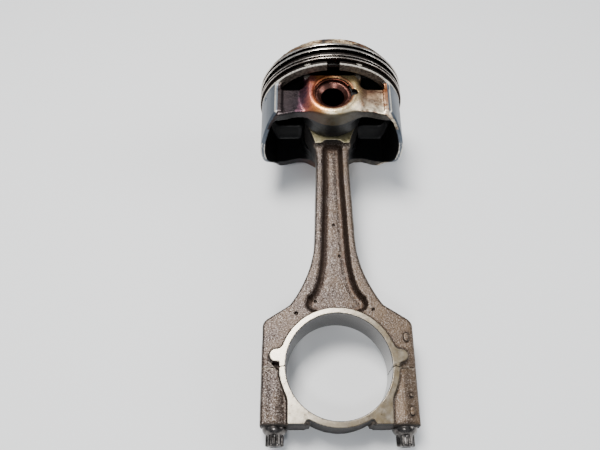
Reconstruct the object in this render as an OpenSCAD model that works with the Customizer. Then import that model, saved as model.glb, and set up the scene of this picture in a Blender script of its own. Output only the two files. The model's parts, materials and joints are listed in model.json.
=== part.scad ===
// Four-stroke engine piston with its rings, wrist pin and fracture-split connecting rod.
// Millimetres. The rod is drawn flat: origin at the crankpin bore, +Y towards the piston, +Z along
// the wrist pin. The whole assembly is then tilted about X, so that it lies on a level surface.

/* [Connecting rod] */
// Distance between the crankpin bore and the wrist pin
rod_length = 148.5; // [146:0.5:156]
// Diameter of the crankpin bore
crank_bore_d = 50.9; // [50:0.1:51.5]
// Width across the machined thrust faces
thrust_w = 20.9; // [20:0.1:22]
// Outer diameter of the machined thrust ring
thrust_d = 57; // [56:0.5:58]
// Thickness of the forged body and of the beam
forged_t = 15; // [13:0.5:16]
// Thickness of the web between the two beam pockets
web_t = 5; // [3:0.5:7]
// Width across the two bolt bosses
big_end_w = 73.8; // [72:0.2:76]
// Height of the shoulders above the parting plane
shoulder_y = 22; // [20:0.2:23]
// Outer diameter of the small end
eye_d = 31.4; // [30:0.2:32]
// Thickness of the small end
eye_t = 20.9; // [19:0.1:21.2]

/* [Rod bolts] */
// Distance of each bolt from the middle of the rod
bolt_x = 30.4; // [30.2:0.1:30.8]
// Diameter of the bolt shank
shank_d = 7.6; // [7:0.1:7.8]
// Depth of the cap below the parting plane at the bolt seats
cap_depth = 26.6; // [26:0.2:27]
// Diameter of the bolt flange
flange_d = 12; // [11:0.5:12]
// Diameter of the six-lobe head
head_d = 8.5; // [8:0.5:9]

/* [Piston] */
// Diameter across the skirts
bore_d = 84; // [83.8:0.1:84.4]
// Diameter of the lands between the rings
land_d = 83.6; // [83.4:0.1:83.6]
// Distance of the crown edge above the wrist pin
crown_h = 26.5; // [26:0.5:28]
// Distance of the skirt's lower end below the wrist pin
skirt_h = 20.5; // [19:0.5:23]
// Distance between the outer faces of the two side panels
panel_w = 52; // [50:0.5:54]
// Outer diameter of the wrist pin bosses
boss_d = 32; // [32:0.2:36]
// Distance between the outer faces of the two bosses
boss_w = 60; // [58:0.5:62]
// Gap between the two bosses
boss_gap = 22; // [21.6:0.1:23]

/* [Wrist pin] */
// Diameter of the wrist pin
pin_d = 21; // [20.5:0.1:21.5]
// Inner diameter of the wrist pin
pin_hole_d = 12.7; // [11:0.1:14]
// Length of the wrist pin
pin_len = 54.6; // [53:0.1:55]

/* [Rings] */
// Outer diameter of the sprung-out rings
ring_d = 86; // [85.6:0.1:86]
// Radial thickness of the rings
ring_w = 3.4; // [3.4:0.1:3.5]
// End gap of the rings
ring_gap = 5.3; // [3:0.1:6]

/* [Hidden] */
$fn = 96;
e = 0.01;
cut = 1;
hull_fn = 32;

// Connecting rod outline
bore_r = crank_bore_d / 2;
thrust_r = thrust_d / 2;
big_x = big_end_w / 2;
eye_r = eye_d / 2;
flank_r = 68;
flank_top = [10.5, 71];
flank_low_y = 31;
neck_w = 9;
neck_drop = sqrt(pow(flank_r + eye_r, 2) - pow(flank_r + neck_w, 2));
neck_y = rod_length - neck_drop;
shoulder_round = 2.5;
arc_steps = 14;
tangent_play = 2;
tab = [30, 4.7];
tab_r = 3.1;
tab_root_w = 5.7;
eye_low = 20.9;
eye_low_x = 9.8;
foot_angle = 20;

// Beam pocket
pocket_low = [15.5, 34.6];
pocket_low_y = 31;
pocket_mid = [7.2, 68];
pocket_top = [5.6, 122];
pocket_top_y = rod_length - eye_r - 4.8;
pocket_round = 3.5;

// Cap pads
pad_x = [16, 24.4];
pad_y = 26.8;
pad_bend_y = 14;
pad_angle = 3;

// Rod bolts
bolt_hole_r = 4;
bolt_hole_top = 21;
bolt_end = 19;
flange_t = 2.4;
head_t = 6.5;
lobe_r = 1.1;
lobe_offset = 0.37;

// Small end
bush_r = 11.7;
bush_bore_r = pin_d / 2 + 0.03;
boss_bore_r = pin_d / 2 + 0.02;

// Piston shell
skirt_r = bore_d / 2;
land_r = land_d / 2;
skirt_t = 2.6;
skirt_angle = 38.2;
skirt_top = 10.4;
skirt_tip_z = 10;
panel_t = 5.5;
panel_low = 11.1;
panel_end_low = 13;
panel_mid_x = 20;
belt_low = 9.65;
belt_inner_r = 35.8;
groove_r = 38.3;
crown_under = 20.7;
plateau_r = 39.8;
plateau_t = 4;
pillar_x = 16;
pillar_top = 14;
brace_z = 26.5;
rib_x = 5;
relief_r = 15;
relief_x = 17;
relief_z = 21;
relief_t = 2;
belt_notch_w = 7.6;
belt_notch_h = 2.6;
belt_notch_depth = 3;

// Wrist pin retention
clip_wire = 1.5;
clip_groove_w = 1.6;
clip_z = pin_len / 2 + 0.9;
clip_ring_r = pin_d / 2;
clip_gap = 60;
clip_notch_r = 2;
mouth_chamfer = 0.4;
pin_chamfer = 2.2;

// Rings: [height of the lower face, thickness, direction of the end gap]
ring_lift = (ring_d - land_d) / 2 - 0.1;
groove_play = 0.03;
top_ring_at = [21.53, 1.14, -70];
second_ring_at = [18.33, 1.14, -110];
oil_upper_at = [13.87, 0.5, -60];
oil_expander_at = [12.45, 1.4, -90];
oil_lower_at = [11.93, 0.5, -120];
oil_groove = [11.9, 2.5];
expander_inset = 0.5;

// Attitude: the ring belt's lower edge and the cap's thrust ring touch one level plane
rest_tilt = atan((land_r - thrust_w / 2) / (rod_length + belt_low + thrust_r));

function unit(v) = v / norm(v);
function arc(c, r, from, to) =
    [for (i = [0:arc_steps]) let (t = from + (to - from) * i / arc_steps) c + r * [cos(t), sin(t)]];
function turn_at(a, b, c) = sign((b - a)[0] * (c - b)[1] - (b - a)[1] * (c - b)[0]);
function rounded(a, b, c, r) =
    let (u = unit(a - b))
    let (v = unit(c - b))
    let (half = acos(u * v) / 2)
    let (mid = b + unit(u + v) * r / sin(half))
    let (s = b + u * r / tan(half) - mid)
    let (start = atan2(s[1], s[0]))
    arc(mid, r, start, start + turn_at(a, b, c) * (180 - 2 * half));
function flip(points) = [for (i = [len(points) - 1:-1:0]) [-points[i][0], points[i][1]]];

// Lays the flat drawing down on its resting surface
module laid() {
    rotate([rest_tilt, 0, 0])
        children();
}

// Places a shape drawn along +Z onto the piston's axis, with its foot at height a
module on_axis(a) {
    translate([0, rod_length + a, 0])
        rotate([-90, 0, 0])
            children();
}

module slab(t) {
    linear_extrude(t, center = true)
        children();
}

module rod_outline() {
    flank_c = flank_top + [flank_r, 0];
    low_angle = 180 + asin((flank_top[1] - flank_low_y) / flank_r);
    neck_c = [neck_w + flank_r, neck_y];
    eye_angle = 180 - tangent_play - asin(neck_drop / (flank_r + eye_r));
    flank_low = flank_c + flank_r * [cos(low_angle), sin(low_angle)];
    half = concat(
        [[big_x, 0]],
        rounded([big_x, 0], [big_x, shoulder_y], flank_low, shoulder_round),
        arc(flank_c, flank_r, low_angle, 180),
        arc(neck_c, flank_r, 180, eye_angle)
    );
    polygon(concat(half, [[0, rod_length]], flip(half)));
}

module pocket_outline() {
    low_mid = [0, pocket_low_y];
    top_corner = [pocket_top[0], pocket_top_y];
    half = concat(
        [low_mid],
        rounded(low_mid, pocket_low, pocket_mid, pocket_round),
        [pocket_mid, pocket_top],
        rounded(pocket_top, top_corner, [0, pocket_top_y], pocket_round)
    );
    polygon(concat(half, flip(half)));
}

module thrust_half(side) {
    intersection() {
        cylinder(h = thrust_w, r = thrust_r, center = true);
        translate([-thrust_r, side > 0 ? 0 : -thrust_d, -thrust_w])
            cube([thrust_d, thrust_d, 2 * thrust_w]);
    }
}

// The eye, and the full-width foot that joins it to the beam
module small_end() {
    translate([0, rod_length, 0])
        cylinder(h = eye_t, r = eye_r, center = true);
    slab(eye_t)
        polygon([
            [-eye_low_x, rod_length - eye_low],
            [eye_low_x, rod_length - eye_low],
            [eye_r * cos(foot_angle), rod_length - eye_r * sin(foot_angle) - cut],
            [0, rod_length],
            [-eye_r * cos(foot_angle), rod_length - eye_r * sin(foot_angle) - cut]
        ]);
}

module bolt_holes() {
    for (x = [-bolt_x, bolt_x])
        translate([x, bolt_hole_top, 0])
            rotate([90, 0, 0])
                cylinder(h = bolt_hole_top + cap_depth + cut, r = bolt_hole_r);
}

module connecting_rod() {
    color("#8a8378") laid()
        difference() {
            union() {
                slab(forged_t) rod_outline();
                thrust_half(1);
                small_end();
                for (s = [-1, 1])
                    slab(thrust_w) {
                        translate([s * tab[0], tab[1]]) circle(tab_r);
                        translate([s * (tab[0] + bore_r + cut) / 2, tab[1]])
                            square([tab[0] - bore_r - cut, tab_root_w], center = true);
                    }
            }
            for (s = [-1, 1])
                translate([0, 0, s * (web_t + forged_t) / 2])
                    slab(forged_t) pocket_outline();
            cylinder(h = 2 * thrust_w, r = bore_r, center = true);
            translate([0, rod_length, 0])
                cylinder(h = 2 * eye_t, r = bush_r, center = true);
            bolt_holes();
        }
}

module cap_pad() {
    polygon([
        [pad_x[0], -pad_y],
        [pad_x[1], -pad_y],
        [pad_x[1], -pad_bend_y],
        [thrust_r * cos(pad_angle), -thrust_r * sin(pad_angle)],
        [bore_r * cos(pad_angle), -bore_r * sin(pad_angle)],
        [pad_x[0], -sqrt(pow(bore_r, 2) - pow(pad_x[0], 2)) - e]
    ]);
}

module rod_cap() {
    color("#8a8378") laid()
        difference() {
            union() {
                for (s = [0, 1])
                    mirror([s, 0, 0]) {
                        translate([pad_x[0], -cap_depth, -forged_t / 2])
                            cube([big_x - pad_x[0], cap_depth, forged_t]);
                        slab(thrust_w) cap_pad();
                    }
                thrust_half(-1);
            }
            cylinder(h = 2 * thrust_w, r = bore_r, center = true);
            bolt_holes();
        }
}

module rod_bolt(x) {
    color("#5c5a58") laid()
        translate([x, -cap_depth, 0])
            rotate([90, 0, 0]) {
                translate([0, 0, -cap_depth - bolt_end])
                    cylinder(h = cap_depth + bolt_end + e, d = shank_d);
                cylinder(h = flange_t, d = flange_d);
                translate([0, 0, flange_t - e])
                    linear_extrude(head_t)
                        difference() {
                            circle(d = head_d);
                            for (i = [0:5])
                                rotate(60 * i)
                                    translate([head_d / 2 + lobe_offset, 0])
                                        circle(lobe_r, $fn = hull_fn);
                        }
            }
}

module bolt_left() { rod_bolt(-bolt_x); }
module bolt_right() { rod_bolt(bolt_x); }

module small_end_bush() {
    color("#b08d4a") laid()
        translate([0, rod_length, 0])
            difference() {
                cylinder(h = eye_t, r = bush_r, center = true);
                cylinder(h = 2 * eye_t, r = bush_bore_r, center = true);
            }
}

// Side view of one skirt, in the plane that holds the piston axis and the pin axis
module skirt_profile() {
    z = panel_w / 2;
    polygon([
        [-z, skirt_top],
        [-z, -panel_low],
        [-skirt_tip_z, -skirt_h],
        [skirt_tip_z, -skirt_h],
        [z, -panel_low],
        [z, skirt_top]
    ]);
}

module skirts() {
    intersection() {
        on_axis(-skirt_h)
            difference() {
                cylinder(h = skirt_h + skirt_top, r = skirt_r);
                translate([0, 0, -cut])
                    cylinder(h = skirt_h + skirt_top + 2 * cut, r = skirt_r - skirt_t);
            }
        translate([0, rod_length, 0])
            rotate([0, -90, 0])
                slab(3 * skirt_r) skirt_profile();
    }
}

module side_panels() {
    end_x = skirt_r * cos(skirt_angle);
    intersection() {
        on_axis(-skirt_h)
            cylinder(h = skirt_h + skirt_top, r = skirt_r - skirt_t / 2);
        translate([0, rod_length, 0])
            for (s = [-1, 1])
                translate([0, 0, s * (panel_w - panel_t) / 2])
                    slab(panel_t)
                        polygon([
                            [-skirt_r, skirt_top],
                            [-end_x, -panel_end_low],
                            [-panel_mid_x, -panel_low],
                            [panel_mid_x, -panel_low],
                            [end_x, -panel_end_low],
                            [skirt_r, skirt_top]
                        ]);
    }
}

module bosses() {
    boss_len = (boss_w - boss_gap) / 2;
    translate([0, rod_length, 0])
        for (s = [0, 1])
            mirror([0, 0, s]) {
                translate([0, 0, boss_gap / 2])
                    cylinder(h = boss_len, d = boss_d);
                translate([-pillar_x, 0, boss_gap / 2])
                    cube([2 * pillar_x, pillar_top, boss_len]);
                translate([-pillar_x + cut, pillar_top - cut, boss_gap / 2])
                    cube([2 * (pillar_x - cut), crown_under - pillar_top + 2 * cut, brace_z - boss_gap / 2]);
                translate([-rib_x, pillar_top - cut, boss_gap / 2 + cut])
                    cube([2 * rib_x, crown_under - pillar_top + 2 * cut, belt_inner_r - boss_gap / 2]);
            }
}

module head() {
    on_axis(belt_low)
        difference() {
            cylinder(h = crown_h - belt_low, r = land_r);
            translate([0, 0, -cut])
                cylinder(h = crown_under - belt_low + cut, r = belt_inner_r);
        }
    on_axis(crown_h - e)
        difference() {
            cylinder(h = plateau_t, r = plateau_r);
            for (x = [-relief_x, relief_x], z = [-relief_z, relief_z])
                translate([x, z, plateau_t - relief_t])
                    cylinder(h = plateau_t, r = relief_r);
        }
}

module ring_groove(a, width) {
    on_axis(a)
        difference() {
            cylinder(h = width, r = skirt_r + cut);
            translate([0, 0, -cut])
                cylinder(h = width + 2 * cut, r = groove_r);
        }
}

module pin_bore() {
    translate([0, rod_length, 0]) {
        cylinder(h = 4 * land_r, r = boss_bore_r, center = true);
        for (s = [0, 1])
            mirror([0, 0, s]) {
                translate([0, 0, clip_z - clip_groove_w / 2])
                    cylinder(h = clip_groove_w, r = clip_ring_r + clip_wire / 2);
                translate([boss_bore_r, 0, clip_z - clip_groove_w / 2])
                    cylinder(h = boss_w, r = clip_notch_r);
                translate([0, 0, boss_w / 2 - 2 * mouth_chamfer])
                    cylinder(
                        h = 3 * mouth_chamfer,
                        r1 = boss_bore_r - mouth_chamfer,
                        r2 = boss_bore_r + 2 * mouth_chamfer
                    );
            }
    }
}

module piston() {
    color("#7d7468") laid()
        difference() {
            union() {
                skirts();
                side_panels();
                bosses();
                head();
            }
            for (at = [top_ring_at, second_ring_at])
                ring_groove(at[0] - groove_play, at[1] + 2 * groove_play);
            ring_groove(oil_groove[0], oil_groove[1]);
            pin_bore();
            for (s = [-1, 1])
                translate([0, rod_length + belt_low, s * land_r])
                    cube([belt_notch_w, 2 * belt_notch_h, 2 * belt_notch_depth], center = true);
        }
}

module wrist_pin() {
    color("#4b4038") laid()
        translate([0, rod_length, 0])
            difference() {
                cylinder(h = pin_len, d = pin_d, center = true);
                cylinder(h = 2 * pin_len, d = pin_hole_d, center = true);
                for (s = [0, 1])
                    mirror([0, 0, s])
                        translate([0, 0, pin_len / 2 - pin_chamfer])
                            cylinder(
                                h = pin_chamfer + e, d1 = pin_hole_d, d2 = pin_hole_d + 2 * pin_chamfer
                            );
            }
}

module circlip(side) {
    color("#3a3836") laid()
        translate([0, rod_length, side * clip_z])
            rotate(clip_gap / 2)
                rotate_extrude(angle = 360 - clip_gap)
                    translate([clip_ring_r, 0])
                        circle(d = clip_wire, $fn = hull_fn);
}

module circlip_front() { circlip(1); }
module circlip_rear() { circlip(-1); }

// One split ring: at = [height, thickness, direction of the gap], inset draws its outside in
module piston_ring(at, inset) {
    laid()
        translate([0, 0, ring_lift])
            on_axis(at[0])
                difference() {
                    cylinder(h = at[1], r = ring_d / 2 - inset);
                    translate([0, 0, -cut])
                        cylinder(h = at[1] + 2 * cut, r = ring_d / 2 - ring_w);
                    rotate(-at[2])
                        translate([0, -ring_gap / 2, -cut])
                            cube([ring_d, ring_gap, at[1] + 2 * cut]);
                }
}

module top_ring() { color("#c9c6c0") piston_ring(top_ring_at, 0); }
module second_ring() { color("#b9b6b0") piston_ring(second_ring_at, 0); }
module oil_rail_upper() { color("#a8a5a0") piston_ring(oil_upper_at, 0); }
module oil_expander() { color("#77746f") piston_ring(oil_expander_at, expander_inset); }
module oil_rail_lower() { color("#a8a5a0") piston_ring(oil_lower_at, 0); }

connecting_rod();
rod_cap();
bolt_left();
bolt_right();
small_end_bush();
piston();
wrist_pin();
circlip_front();
circlip_rear();
top_ring();
second_ring();
oil_rail_upper();
oil_expander();
oil_rail_lower();
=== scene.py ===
"""A used four-stroke piston on its connecting rod: the looks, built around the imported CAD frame.

Shapes are drawn in millimetres in the rod's own frame: origin at the crankpin bore, +Y towards the
piston, +Z along the wrist pin. Each cast or forged part is a signed distance field, which gives its
fillets and draft, and is meshed here.
"""
import json
import math

import bpy
import numpy as np
from mathutils import Matrix, Vector


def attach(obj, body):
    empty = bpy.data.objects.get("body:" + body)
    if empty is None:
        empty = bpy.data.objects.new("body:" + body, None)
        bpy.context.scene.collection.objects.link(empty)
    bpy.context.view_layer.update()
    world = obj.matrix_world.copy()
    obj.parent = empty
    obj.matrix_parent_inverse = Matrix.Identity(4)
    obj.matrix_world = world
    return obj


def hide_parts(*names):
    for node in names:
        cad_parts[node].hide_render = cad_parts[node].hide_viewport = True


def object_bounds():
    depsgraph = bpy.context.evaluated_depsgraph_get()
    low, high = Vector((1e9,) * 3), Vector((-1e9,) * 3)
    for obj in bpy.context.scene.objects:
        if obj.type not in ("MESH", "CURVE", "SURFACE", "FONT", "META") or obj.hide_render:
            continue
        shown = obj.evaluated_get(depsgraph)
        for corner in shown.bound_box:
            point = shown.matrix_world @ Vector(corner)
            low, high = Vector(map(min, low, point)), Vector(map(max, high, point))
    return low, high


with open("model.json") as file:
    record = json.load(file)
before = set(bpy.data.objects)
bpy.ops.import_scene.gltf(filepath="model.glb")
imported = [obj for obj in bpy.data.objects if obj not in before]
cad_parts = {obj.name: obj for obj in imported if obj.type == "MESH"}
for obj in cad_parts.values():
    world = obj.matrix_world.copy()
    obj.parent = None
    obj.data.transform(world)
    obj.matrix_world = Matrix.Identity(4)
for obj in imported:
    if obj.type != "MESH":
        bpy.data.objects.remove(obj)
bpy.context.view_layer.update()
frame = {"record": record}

MM = 0.001
SHARP_ANGLE = 35                         # edges of turned pieces sharper than this stay crisp
STEP = 0.45       # mesh spacing of the forged and cast parts
rng = np.random.default_rng(7)

# ---------------------------------------------------------------- the rod's frame in the row frame
record = frame["record"]
crank_bore = next(m for m in record["mounts"] if m["name"] == "crank_bore")
swing = next(j for j in record["behaviour"]["joints"] if j["name"] == "piston_swing")
bore_at = Vector(crank_bore["pos_m"])
pin_at = Vector(swing["pos_m"])
ALONG = (pin_at - bore_at).normalized()
TILT = math.atan2(ALONG.z, ALONG.y)      # the rod lies tilted about the row frame's X axis
ROD_FRAME = Matrix.Translation(bore_at) @ Matrix.Rotation(TILT, 4, "X")

L = (pin_at - bore_at).length / MM       # bore centre to pin centre

# Connecting rod
BORE_R = crank_bore["dims"]["r_mm"]
THRUST_R = 28.5                          # outer radius of the thrust ring round the big end's bore
THRUST_Z = crank_bore["dims"]["length_mm"] / 2     # half its width
FORGED_Z = 7.5                           # half thickness of the forging
CAP_Z = 6.7                              # half thickness of the cap beside its pads
WEB_Z = 2.4                              # half thickness of the beam's web
BIG_X = 36.9                             # half width across the bolts' columns
SHOULDER_Y = 22.0                        # height of the shoulders
CAP_Y = -26.6                            # lower end of the cap
FLANK_R = 68.0                           # radius of the hollow flanks
FLANK_TOP = (10.5, 71.0)                 # where a flank meets the beam
FLANK_LOW_Y = 31.0                       # where it meets the shoulder
NECK_X = 9.0                             # half width of the beam below the small end
EYE_R = 15.7                             # outer radius of the small end
EYE_FOOT = (9.8, 20.9)                   # half width of its foot, and how far that lies below the pin
BUSH_R = 11.7                            # outer radius of the bush
BOLT_X = 30.4                            # distance of the bolts from the middle
BOLT_HOLE_R = 4.0
BOLT_HOLE_TOP_Y = 21.0                   # upper end of their blind holes
COLUMN_R = 7.7                           # radius of the columns round them

# Piston, in heights above the pin
SKIRT_R = 42.0
LAND_R = 41.8
CROWN_A = 26.5                           # top of the top land
PLATEAU_A = 30.5                         # top of the raised crown
PLATEAU_R = 39.8                         # radius of the raised crown
SKIRT_A = -20.5                          # lower end of the skirts
SKIRT_T = 2.6                            # thickness of the skirts
SKIRT_TOP_A = 11.0                       # upper end of the skirts, inside the belt
SKIRT_FLAT_Z = 10.0                      # half width of their level lower end
BELT_A = 9.65                            # lower face of the ring belt
BELT_INNER_R = 35.8                      # inside of the ring belt
GROOVE_R = 38.3                          # bottom of the ring grooves
UNDER_A = 20.7                           # underside of the crown
PANEL_Z = 26.0                           # outer face of the side panels
PANEL_A = -11.1                          # their lower edge
PANEL_T = 5.0                            # their thickness
PANEL_LEAN = 7.5                         # how far they lean in under the belt
BOSS_R = 16.0                            # radius of the bosses at their outer face
BOSS_TAPER = 0.08                        # their growth towards the rod, per millimetre
SWELL = (12.7, 19.7)                     # radii over which the boss's face falls to the panel
BOSS_Z = 30.0                            # outer face of the bosses
BOSS_IN_Z = 11.0                         # their inner face
PILLAR_X = 16.0                          # half width of the pillars above them
KNOB = (PILLAR_X - 1.6, 12.6, BOSS_Z - 4.0) # x, height and z of the cast knobs beside the slots
KNOB_R = 2.6
PIN_R = 10.5
PIN_HOLE_R = 6.35
PIN_Z = 27.3                             # half length of the pin
CLIP_Z = 28.2                            # place of the clips
CLIP_WIRE_R = 0.75
NOTCH_R = 2.2                            # radius of a clip's removal notch
SLOT_X = 3.4                             # half width of the slots in the lower land
DRAIN = (6.0, 16.0)                      # height and z of the skirt's drain hole
DRAIN_R = 0.9
RELIEFS = [(17.0, 21.0, 16.0), (-17.0, 21.0, 16.0), (16.0, -20.0, 14.0), (-16.0, -20.0, 14.0)]
RELIEF_DEPTH = 1.9
RELIEF_SLOPE = 0.05

# Rings
RING_R = 43.0                            # outer radius of the rings at rest
RING_W = 3.4                             # width of the rings
# Height of each ring's lower face, its thickness and the angle of its gap
RINGS = {
    "top_ring": (21.53, 1.14, -70),
    "second_ring": (18.33, 1.14, -110),
    "oil_rail_upper": (13.87, 0.5, -60),
    "oil_rail_lower": (11.93, 0.5, -120),
}
EXPANDER = (12.45, 1.4, -90)             # the same three for the crimped strip
RING_GAP = 5.3                           # their gap at rest
RING_LIFT = RING_R - LAND_R - 0.1        # the sprung-out rings sit off centre, as they lie
GROOVES = [(21.5, 1.2), (18.3, 1.2), (11.9, 2.5)]   # height of the lower face, and width


# ---------------------------------------------------------------- distance fields
def smin(a, b, k):
    """The union of two fields, blended over a width k."""
    h = np.maximum(k - np.abs(a - b), 0.0) / k
    return np.minimum(a, b) - h * h * k / 4


def smax(a, b, k):
    """The overlap of two fields, with its edge rounded over a width k."""
    return -smin(-a, -b, k)


def ramp(value, start, end):
    """0 before start and 1 after end, with a smooth rise between."""
    t = np.clip((value - start) / (end - start), 0.0, 1.0)
    return t * t * (3 - 2 * t)


def box(x, y, z, low, high):
    """A block's field."""
    q = [np.maximum(lo - v, v - hi) for v, lo, hi in zip((x, y, z), low, high)]
    out = np.sqrt(sum(np.maximum(v, 0) ** 2 for v in q))
    return out + np.minimum(np.maximum(np.maximum(q[0], q[1]), q[2]), 0)


def polygon(points):
    """The field of a closed outline in the plane."""
    ring = np.array([p for p, q in zip(points, points[1:] + points[:1]) if tuple(p) != tuple(q)], float)

    def field(x, y):
        x, y = np.broadcast_arrays(x, y)
        nearest = np.full(x.shape, 1e9)
        inside = np.zeros(x.shape, bool)
        for (ax, ay), (bx, by) in zip(ring, np.roll(ring, -1, axis=0)):
            ex, ey = bx - ax, by - ay
            wx, wy = x - ax, y - ay
            t = np.clip((wx * ex + wy * ey) / (ex * ex + ey * ey), 0, 1)
            nearest = np.minimum(nearest, (wx - ex * t) ** 2 + (wy - ey * t) ** 2)
            if ay != by:
                inside ^= ((ay > y) != (by > y)) & (x < ex * (y - ay) / ey + ax)
        return np.sqrt(nearest) * np.where(inside, -1, 1)

    return field


def arc(centre, r, start, end, steps=16):
    """Points along an arc, with its angles in degrees."""
    angles = np.radians(np.linspace(start, end, steps))
    return [(centre[0] + r * math.cos(t), centre[1] + r * math.sin(t)) for t in angles]


def curve(a, b, c, steps=12):
    """Points along the curve from a to c that leans towards b."""
    t = np.linspace(0, 1, steps)[:, None]
    return (np.array(a) * (1 - t) ** 2 + np.array(b) * 2 * t * (1 - t) + np.array(c) * t**2).tolist()


class Noise:
    """Smooth random lumps about one unit across, from -1 to 1, the same on every run."""

    SIZE = 64

    def __init__(self):
        self.lattice = rng.uniform(-1, 1, (self.SIZE,) * 3)

    def __call__(self, p):
        base = np.floor(p).astype(int)
        f = p - base
        f = f * f * (3 - 2 * f)
        total = 0
        for corner in np.ndindex(2, 2, 2):
            weight = np.prod(np.where(corner, f, 1 - f), axis=1)
            i = (base + corner) % self.SIZE
            total = total + weight * self.lattice[i[:, 0], i[:, 1], i[:, 2]]
        return total


noise = Noise()


# ---------------------------------------------------------------- the connecting rod's field
def rod_outline():
    """Half of the forged outline, as far as the middle line and past it."""
    flank_c = (FLANK_TOP[0] + FLANK_R, FLANK_TOP[1])
    low = 180 + math.degrees(math.asin((FLANK_TOP[1] - FLANK_LOW_Y) / FLANK_R))
    drop = math.sqrt((FLANK_R + EYE_R) ** 2 - (FLANK_R + NECK_X) ** 2)
    neck_c = (NECK_X + FLANK_R, L - drop)
    high = 180 - math.degrees(math.asin(drop / (FLANK_R + EYE_R)))
    return polygon(
        [(14.5, CAP_Y), (BIG_X, CAP_Y), (BIG_X, SHOULDER_Y - 2.2)]
        + curve((BIG_X, SHOULDER_Y - 2.2), (BIG_X, SHOULDER_Y), (BIG_X - 2.0, SHOULDER_Y + 1.5), 6)
        + arc(flank_c, FLANK_R, low, 180)
        + arc(neck_c, FLANK_R, 180, high)
        + [(-BIG_X, L), (-BIG_X, 0), (14.5, 0)]
    )


def pocket_outline():
    """Half of the beam's pocket, at the level of its rim."""
    return polygon(
        [(-BIG_X, 26.0), (9.0, 26.0)]
        + arc((11.4, 31.6), 4.2, -80, 20, 8)
        + curve((14.9, 35.0), (7.9, 39.0), (7.1, 68.0))
        + [(5.75, 105.0), (5.6, L - 23.5)]
        + curve((5.6, L - 23.5), (5.4, L - 19.9), (2.6, L - 19.8), 6)
        + [(-BIG_X, L - 19.8)]
    )


def pad_outline():
    """Half of the machined pads of the cap."""
    return polygon(
        [
            (16.6, -26.8),
            (24.3, -26.8),
            (24.4, -14.0),
            (27.6, -5.0),
            (27.6, 2.0),
            (20.0, 0.0),
            (14.0, -21.0),
            (15.2, -24.4),
        ]
    )


def foot_outline():
    """Half of the full-width foot below the small end's eye."""
    tangent = math.radians(20)
    return polygon(
        [
            (-BIG_X, L - EYE_FOOT[1]),
            (EYE_FOOT[0], L - EYE_FOOT[1]),
            (EYE_R * math.cos(tangent), L - EYE_R * math.sin(tangent)),
            (0, L),
            (-BIG_X, L),
        ]
    )


ROD_OUTLINE = rod_outline()
POCKET_OUTLINE = pocket_outline()
PAD_OUTLINE = pad_outline()
FOOT_OUTLINE = foot_outline()
TAB = (30.0, 4.7, 3.1)                   # x, y and radius of the locating tabs
TAB_LENGTH = 6.0
# Forging marks, as x, y, radius and half length; pits, as x, y and radius
LUMPS = [(33.2, 14.2, 1.3, 2.2), (33.6, -13.4, 1.0, 1.0), (33.4, -20.6, 1.3, 2.0)]
PITS = [(-20.4, 26.6, 0.8), (18.3, 28.4, 0.7), (-0.3, 77.9, 0.7), (2.5, 59.5, 0.65), (-10.7, 34.0, 0.6)]
NICK = ((-33.0, -2.4, 5.4), (-28.6, 1.6, 12.0))     # the notch under the left tab
PIT_ON_BEAM_X = 12.0                     # pits further out lie on the shoulders, not in a pocket
SPLIT_WAVE = 0.28                        # roughness of the fractured parting faces
SPLIT_GAP = 0.06                         # half the gap that keeps the two faces apart
PARTING_Y = -0.7                         # the fracture runs just below the bore's middle


def machined_outline(ax, y):
    """The thrust ring with its tabs and pads, in the plane."""
    r = np.hypot(ax, y)
    tab_x, tab_y, tab_r = TAB
    beside = np.maximum(tab_x - TAB_LENGTH - ax, 0) + np.maximum(ax - tab_x, 0)
    tab = np.hypot(beside, y - tab_y) - tab_r
    face = smin(r - THRUST_R, tab, 2.6)
    return smin(face, PAD_OUTLINE(ax, y), 1.6)


def forged_field(x, y, z):
    """The forging before machining: beam, bolt columns and small end, with its pockets and marks."""
    ax, az = np.abs(x), np.abs(z)
    half = FORGED_Z - (FORGED_Z - CAP_Z) * ramp(-y, -6.0, 4.0) * ramp(ax, 22.0, 26.0)
    outline = ROD_OUTLINE(ax, y) - 0.5 + 0.045 * az
    forged = smax(outline, az - half, 1.7)
    column = np.hypot(ax - BOLT_X, z) - COLUMN_R
    column = smax(column, np.maximum(CAP_Y - y, y - 15.0 + 0.8 * az), 2.0)
    forged = smin(forged, smax(column, ax - BIG_X - 0.3, 1.0), 1.2)
    eye = smin(np.hypot(x, y - L) - EYE_R, FOOT_OUTLINE(ax, y), 3.0)
    forged = smin(forged, smax(eye, az - THRUST_Z - 2, 0.5), 3.0)
    rim = POCKET_OUTLINE(ax, y)
    wall = rim + 0.36 * (FORGED_Z - az)
    floor = WEB_Z + 1.0 * ramp(-rim, 0.0, 5.6) + 0.6 * ramp(-y, -46.0, -30.0)
    pocket = smax(wall, floor - az, 3.2)
    forged = smax(forged, -pocket, 1.1)
    for at_x, at_y, radius, reach in LUMPS:
        stroke = np.hypot(x - at_x, np.maximum(np.abs(y - at_y) - reach + radius, 0)) - radius
        rise = 1.7 if at_y < 0 else 0.9
        forged = smin(forged, smax(stroke, np.abs(z - half) - rise, 0.8), 0.6)
    return forged


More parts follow.
